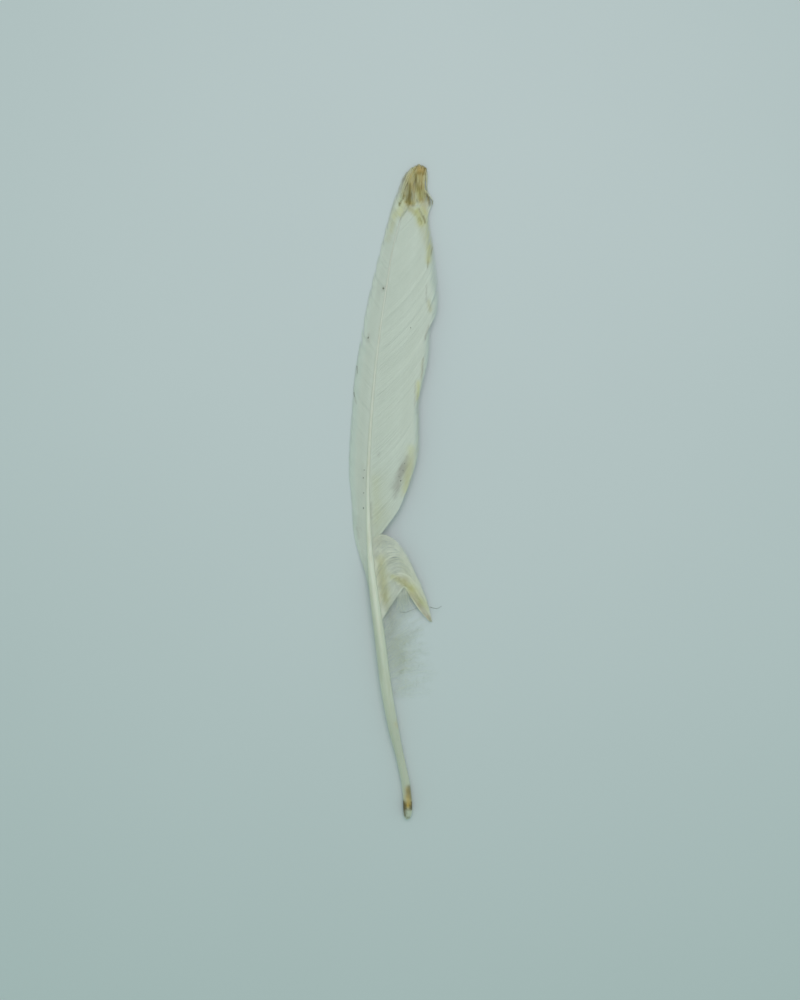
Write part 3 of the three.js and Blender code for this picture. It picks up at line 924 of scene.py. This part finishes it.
def barbules(paths, rng, per_barb, length, lean, thin, bare=0.06):
    """Fine closed spikes that leave both sides of each barb at a slant."""
    strands, rings = paths.shape[:2]
    t = np.sort(rng.uniform(bare, 0.97, (strands, per_barb)), axis=1) * (rings - 1)
    base, way = between_rings(paths, t)
    tangent = unit(way)
    side = unit(np.cross(tangent, UP)) * np.where(rng.random((strands, per_barb, 1)) < 0.5, -1, 1)
    reach = length * rng.uniform(0.5, 1.1, (strands, per_barb, 1)) * (1 - 0.6 * (t / rings)[..., None] ** 3)
    lean = math.radians(lean)
    lean = rng.normal(lean, 0.25 * lean, (strands, per_barb, 1))
    rise = rng.normal(0, 0.22, (strands, per_barb, 1))
    tip = base + reach * (tangent * np.cos(lean) + side * np.sin(lean) + UP * rise)
    keep_above(tip, LOWEST_END)
    corners = np.stack([base + tangent * thin, base - tangent * thin, base + UP * thin, tip], axis=2)
    keep_above(corners, LOWEST)
    first = np.arange(strands * per_barb)[:, None] * 4
    faces = [first + np.array(f)[None, :] for f in ((0, 1, 2), (0, 3, 1), (1, 3, 2), (2, 3, 0))]
    return corners.reshape(-1, 3), faces


def add_fluff(bundle, paths, rng, radii, **kind):
    """Barbs with barbules. Their stain and painted shade values are taken from where they lie."""
    strands, rings = paths.shape[:2]
    vertices, faces = tube(paths, tapered(rings, *radii))
    random = rng.uniform(-1, 1, strands)
    for corners, made in ((vertices.reshape(-1, 3), faces), barbules(paths, rng, **kind)):
        each = np.repeat(random, len(corners) // strands)
        strand = np.c_[corners[:, 0] * 0.7, corners[:, 1] * 0.7, each]
        bundle.add(corners, made, strand=strand, thin=0 * each, **stains_and_painted_shade(corners, each))


def tapered(rings, thick, thin):
    """Radii from root to end, the same for every strand."""
    return lerp(thick, thin, np.linspace(0, 1, rings)[None, :] ** 1.3)


def loose_noise(strands, rings, amount, rng, settled=0.4):
    """Slow wander of each strand, nothing at its root."""
    t = np.linspace(0, 1, rings)[None, :, None]
    waves = sum(
        rng.normal(0, 1, (strands, 1, 3)) * np.sin(np.pi * t * n + rng.uniform(0, 6.28, (strands, 1, 3))) / n
        for n in (1, 2, 3)
    )
    return amount * waves * smooth(t, 0, settled)


def tuft_paths(shares, starts, ends, rings):
    """Paths over the tuft's arcs: one for each share from the inner arc to the outer one."""
    t = lerp(starts[:, None], ends[:, None], np.linspace(0, 1, rings)[None, :])
    arcs = np.stack([curve(arc, t) for arc in TUFT_ARCS])
    place = np.clip(np.interp(shares, TUFT_SHARES, np.arange(len(TUFT_SHARES))), 0, len(TUFT_SHARES) - 1.001)
    k = place.astype(int)
    w = (place - k)[:, None, None]
    rows = np.arange(len(shares))
    return arcs[k, rows] * (1 - w) + arcs[k + 1, rows] * w


def tuft_piece(material, rng):
    """Barbs over the tuft's arcs, and shorter ones that hang down between its arms."""
    bundle = Bundle()
    strands, rings = 260, 36
    shares = 1.13 * ((np.arange(strands) + rng.uniform(0, 1, strands)) / strands) ** 0.85
    ends = np.clip(rng.normal(0.92, 0.07, strands) - 0.12 * shares, 0.4, 1.0)
    ends = np.where(shares > 0.9, ends * rng.uniform(0.4, 0.9, strands), ends)
    paths = tuft_paths(shares, np.zeros(strands), ends, rings)
    paths = paths + loose_noise(strands, rings, 0.2, rng, 0.15) * np.array([1, 1, 0.4])
    add_fluff(bundle, paths, rng, **TUFT_BARBS)
    hanging, rings = 48, 16
    roots = np.stack([
        rng.uniform(1.6, 5.2, hanging), rng.uniform(-36.0, -33.2, hanging), np.full(hanging, 3.2),
    ], axis=-1)
    angles = np.radians(rng.normal(178, 14, hanging))
    bends = np.radians(rng.normal(0, 22, hanging))
    lengths = rng.uniform(3.5, 8.5, hanging)
    paths = bent_barbs(roots, angles, bends, lengths, rng.uniform(2.0, 2.9, hanging), rings)
    add_fluff(bundle, paths, rng, **HANGING_BARBS)
    return bundle.piece("tuft", material)


def matted_piece(material, rng):
    """Barbs stuck together in the tuft's inner arc, from its top down to its end."""
    bundle = Bundle()
    strands, rings = 110, 40
    shares = 0.42 * rng.uniform(0, 1, strands) ** 1.3
    paths = tuft_paths(shares, rng.uniform(0.36, 0.54, strands), rng.uniform(0.9, 1.0, strands), rings)
    paths = paths + UP * rng.uniform(-0.4, 0.05, (strands, 1, 1))
    paths = paths + loose_noise(strands, rings, 0.1, rng)
    add_fluff(bundle, paths, rng, **MATTED_BARBS)
    return bundle.piece("matted_barbs", material)


def bent_barbs(roots, angles, bend, lengths, end_heights, rings):
    """Barbs that leave their roots at an angle from +Y and bend away as they go, down to a height."""
    t = np.linspace(0, 1, rings)[None, :]
    heading = angles[:, None] + bend[:, None] * (t - 0.5)
    step = lengths[:, None] / (rings - 1)
    x = np.cumsum(np.sin(heading) * step, axis=1) - np.sin(heading[:, :1]) * step
    y = np.cumsum(np.cos(heading) * step, axis=1) - np.cos(heading[:, :1]) * step
    z = lerp(roots[:, 2:3], end_heights[:, None], smooth(t, 0, 0.8)) - roots[:, 2:3]
    return roots[:, None, :] + np.stack([x, y, z], axis=-1)


def down_piece(material, rng):
    """A sheer haze: thin barbs that spread from the quill down to the floor, with long barbules."""
    bundle = Bundle()
    strands, rings = 340, 20
    low, high = -72.4, -38.0
    share = np.sort(rng.uniform(0, 1, strands) ** 0.9)
    roots = shaft_at(lerp(low, high, share))
    roots[:, 0] += 0.35 * shaft_width(roots[:, 1])
    roots[:, 2] *= rng.uniform(0.45, 0.9, strands)
    angles = np.radians(lerp(84, 18, share) + rng.normal(0, 14, strands))
    lengths = lerp(16.5, 19.0, np.sin(np.pi * share)) * rng.uniform(0.35, 1.0, strands)
    lengths *= lerp(1, 0.55, smooth(share, 0.7, 1))
    bends = np.radians(rng.normal(20, 22, strands))
    paths = bent_barbs(roots, angles, bends, lengths, rng.uniform(0.1, 0.6, strands), rings)
    paths = paths + loose_noise(strands, rings, 0.3, rng) * np.array([1, 1, 0.3])
    paths[..., 1] = np.maximum(paths[..., 1], low + 0.3 * rng.random((strands, 1)))
    add_fluff(bundle, paths, rng, **DOWN_BARBS)
    return bundle.piece("down", material)


# Matted tip: paths of the clumps from above, their strands, and how wide they start and end
TIP_CLUMPS = [
    ([(7.83, 114.14), (6.42, 112.38), (5.02, 109.56), (3.61, 106.39), (2.9, 103.58), (1.95, 100.41)],
     9, 0.5, 0.12),
    ([(8.89, 114.14), (7.48, 111.32), (6.07, 108.15), (5.54, 105.34), (5.19, 102.52), (5.19, 100.06)],
     26, 0.95, 0.75),
    ([(9.59, 114.49), (8.89, 111.67), (8.36, 108.15), (7.83, 105.34), (7.48, 102.87), (7.3, 100.76)],
     12, 0.55, 0.35),
    ([(9.2, 114.9), (9.0, 112.2), (8.8, 108.9), (8.6, 105.7), (8.4, 102.9), (8.3, 100.9)], 22, 1.0, 0.7),
    ([(10.3, 114.6), (10.0, 111.67), (9.8, 108.5), (9.9, 105.69), (10.2, 102.87), (10.6, 100.4)],
     22, 0.95, 0.8),
    ([(11.35, 113.78), (10.82, 111.67), (10.47, 108.5), (10.82, 105.69), (12.06, 103.58), (12.58, 100.41)],
     14, 0.5, 0.35),
    ([(10.3, 106.74), (11.7, 104.98), (13.11, 103.05), (13.68, 101.82), (13.32, 100.06)], 7, 0.2, 0.1),
    ([(6.78, 113.78), (5.37, 111.67), (4.14, 108.86), (3.08, 106.04), (2.38, 103.58)], 14, 0.6, 0.3),
    ([(7.6, 113.2), (6.6, 110.8), (5.9, 107.6), (6.2, 104.6), (6.6, 101.6), (6.8, 99.6)], 20, 1.0, 0.8),
    ([(5.37, 100.41), (3.96, 97.94), (2.55, 95.83)], 4, 0.12, 0.06),
    ([(8.89, 100.41), (9.94, 97.24), (11, 94.42)], 5, 0.14, 0.06),
    ([(8.18, 100.41), (9.24, 96.54), (9.84, 94.07)], 4, 0.12, 0.06),
    ([(11.5, 112.3), (11.6, 110.4), (11.55, 108.4), (11.6, 106.6), (12.0, 104.4)], 7, 0.3, 0.15),
]


def tip_piece(material, rng):
    """Wet and dried barbs that hang back from the tip in clumps, over both vanes."""
    bundle = Bundle()
    rings = 28
    t = np.linspace(0, 1, rings)
    for path, strands, start_spread, end_spread in TIP_CLUMPS:
        centre = curve(np.c_[path, np.zeros(len(path))], t)
        away = np.abs(centre[:, 0] - shaft_at(centre[:, 1])[:, 0])
        centre[:, 2] = shaft_at(centre[:, 1])[:, 2] + 0.28 - 0.09 * away
        side = unit(np.cross(np.gradient(centre, axis=0), UP))
        fan = rng.uniform(-1, 1, (strands, 1, 1))
        width = lerp(start_spread, end_spread, smooth(t, 0, 0.9)) * (0.55 + 0.45 * np.sin(np.pi * t))
        paths = centre[None] + side[None] * fan * width[None, :, None]
        paths = paths + UP * (0.18 * (1 - fan**2) + rng.uniform(-0.12, 0.06, (strands, 1, 1)))
        paths = paths + loose_noise(strands, rings, 0.05, rng)
        starts = lerp(0, 0.12, rng.random(strands))[:, None]
        ends = lerp(0.82, 1.0, rng.random(strands))[:, None]
        picked = lerp(starts, ends, t[None, :]) * (rings - 1)
        paths = between_rings(paths, picked)[0]
        add_fluff(bundle, paths, rng, **TIP_BARBS)
    return bundle.piece("matted_tip", material)


# Dark strands, as paths with their radius: loose fibres caught in the tuft, and two short strips of painted
# shadow in small splits at the narrow vane's edge
FIBRES_AND_SPLIT_SHADOWS = [
    ([(12.6, -40.6, 1.9), (14.0, -41.0, 1.9), (15.4, -41.1, 1.7), (16.8, -40.3, 1.6)], 0.09),
    ([(2.1, -42.4, 0.9), (4.3, -42.5, 1.2), (6.6, -41.6, 1.5), (8.6, -41.0, 1.7)], 0.06),
    # Painted shadow: two short dark strips in small splits at the narrow vane's edge
    ([(-12.97, 44.1, 0.35), (-12.9, 42.7, 0.3), (-12.69, 41.3, 0.35)], 0.09),
    ([(-14.0, 34.8, 0.35), (-13.95, 34.0, 0.3), (-13.74, 33.1, 0.35)], 0.1),
]
# Dirt grains on the feather: x and y from above, and radius
SPECKS = [
    (2.45, 3.61, 0.22),
    (-3.61, 70.98, 0.3),
    (-8.92, 53.94, 0.26),
    (-10.3, 7.37, 0.16),
    (-10.61, 4.66, 0.2),
    (-10.47, -0.62, 0.16),
    (-10.54, -5.9, 0.27),
    (5.9, 57.01, 0.15),
    (-9.49, -10.12, 0.13),
    (3.26, 7.13, 0.15),
    (1.85, 5.02, 0.14),
    (3.82, 9.59, 0.13),
]
FIBRE_RINGS, FIBRE_SIDES = 24, 6
GRAIN_ROWS, GRAIN_SIDES = 5, 8
DIRT_AND_SHADOW_DARK, DIRT_AND_SHADOW_LIGHT = (0.14, 0.15, 0.11, 1), (0.27, 0.28, 0.22, 1)


def dirt_and_split_shadow_material():
    nodes = Nodes("dirt_and_split_shadows")
    where = nodes.add("ShaderNodeTexCoord").outputs["Object"]
    tone = nodes.noise(where, 4000.0, 2.0)
    color = nodes.ramp(tone, [(0.35, DIRT_AND_SHADOW_DARK), (0.7, DIRT_AND_SHADOW_LIGHT)])
    nodes.shade(color, {"Roughness": 0.85})
    return nodes.material


def grain(rng):
    """A lumpy closed grain of radius 1: rings from pole to pole, whose ends are faces."""
    polar = np.linspace(0.25, np.pi - 0.25, GRAIN_ROWS)
    angle = np.linspace(0, 2 * np.pi, GRAIN_SIDES, endpoint=False)
    lump = 1 + rng.normal(0, 0.14, (GRAIN_ROWS, GRAIN_SIDES))
    return np.stack([
        np.sin(polar)[:, None] * np.cos(angle) * lump,
        np.sin(polar)[:, None] * np.sin(angle) * lump,
        -np.cos(polar)[:, None] * lump * 0.6,
    ], axis=-1)


def vane_height(x, y):
    """The height of a vane at a place."""
    sheet = NARROW if x < shaft_at(y)[0] else WIDE
    along, out = np.meshgrid(np.linspace(0, 1, 300), np.linspace(0, 1, 60), indexing="ij")
    points = sheet.surface(along, out)
    gap = (points[..., 0] - x) ** 2 + (points[..., 1] - y) ** 2
    return points[np.unravel_index(np.argmin(gap), gap.shape)][2]


def dirt_and_split_shadow_piece(rng):
    """Dark fibres and grains that lie on the feather, and short dark strips of painted shadow in splits at
    the narrow vane's edge.
    """
    bundle = Bundle()
    for path, radius in FIBRES_AND_SPLIT_SHADOWS:
        centre = curve(path, np.linspace(0, 1, FIBRE_RINGS))[None]
        vertices, faces = tube(centre, tapered(FIBRE_RINGS, radius, radius * 0.4), FIBRE_SIDES)
        bundle.add(vertices, faces)
    for x, y, radius in SPECKS:
        shape = grain(rng) * radius * np.array([1.0, 1.3, 1.0])
        shape += np.array([x, y, vane_height(x, y) + 0.3 * radius])
        bundle.add(shape, ring_faces(1, GRAIN_ROWS, GRAIN_SIDES))
    return bundle.piece("dirt_and_split_shadows", dirt_and_split_shadow_material())


# Stage, in metres

FLOOR_SHADE, FLOOR_LIGHT = (0.655, 0.695, 0.705, 1), (0.665, 0.705, 0.715, 1)


def make_floor():
    """A large sheet, with a gap below the feather."""
    size, gap = 20.0, 0.00005
    mesh = bpy.data.meshes.new("floor")
    corners = [(-size, -size, 0), (size, -size, 0), (size, size, 0), (-size, size, 0)]
    mesh.from_pydata(corners, [], [(0, 1, 2, 3)])
    floor = placed("floor", mesh)
    nodes = Nodes("floor_paper")
    where = nodes.add("ShaderNodeTexCoord").outputs["Object"]
    tone = nodes.noise(where, 9.0, 2.0)
    color = nodes.ramp(tone, [(0.3, FLOOR_SHADE), (0.7, FLOOR_LIGHT)])
    nodes.shade(color, {"Roughness": 0.9, "Specular IOR Level": 0.2})
    mesh.materials.append(nodes.material)
    floor.location.z = -gap


def make_camera():
    """Straight above, framed as in the photo: 352 mm of the surface from top to bottom."""
    photo_height, photo_centre = 0.352, (0.0022, -0.0031)
    camera = placed("camera", bpy.data.cameras.new("camera"))
    camera.data.lens = 50
    camera.data.sensor_width = 36
    distance = photo_height / 2 / (camera.data.sensor_width / 2 / camera.data.lens)
    camera.location = (*photo_centre, distance)
    bpy.context.scene.camera = camera


def make_light(name, place, size, power, color):
    light = bpy.data.lights.new(name, "AREA")
    light.shape = "DISK"
    light.size = size
    light.energy = power
    light.color = color
    lamp = placed(name, light)
    lamp.location = place
    lamp.visible_camera = False


def make_world():
    world = bpy.data.worlds.new("world")
    bpy.context.scene.world = world
    world.use_nodes = True
    background = world.node_tree.nodes["Background"]
    background.inputs["Color"].default_value = (0.69, 1.0, 0.905, 1)
    background.inputs["Strength"].default_value = 0.53


def make_stage():
    bpy.context.scene.view_settings.view_transform = "Standard"
    make_camera()
    make_floor()
    make_world()
    make_light("key", place=(0.025, 0.15, 0.45), size=0.45, power=0.91, color=(0.95, 0.757, 0.86))


def make_feather():
    vane = barb_material("vane_barbs", CREAM, CREAM_SHADE, BARB_ROUGHNESS)
    fluff = barb_material("tuft_barbs", FLUFF, FLUFF_SHADE, FLUFF_ROUGHNESS)
    sheer = barb_material("down_barbs", SHEER, SHEER_SHADE, FLUFF_ROUGHNESS)
    shaft_piece()
    vane_bundle(NARROW, *NARROW_COUNTS).piece("vane_narrow", vane)
    vane_bundle(WIDE, *WIDE_COUNTS).piece("vane_wide", vane)
    tuft_piece(fluff, np.random.default_rng(13))
    matted_piece(fluff, np.random.default_rng(14))
    down_piece(sheer, np.random.default_rng(15))
    tip_piece(vane, np.random.default_rng(16))
    dirt_and_split_shadow_piece(np.random.default_rng(17))


make_stage()
make_feather()
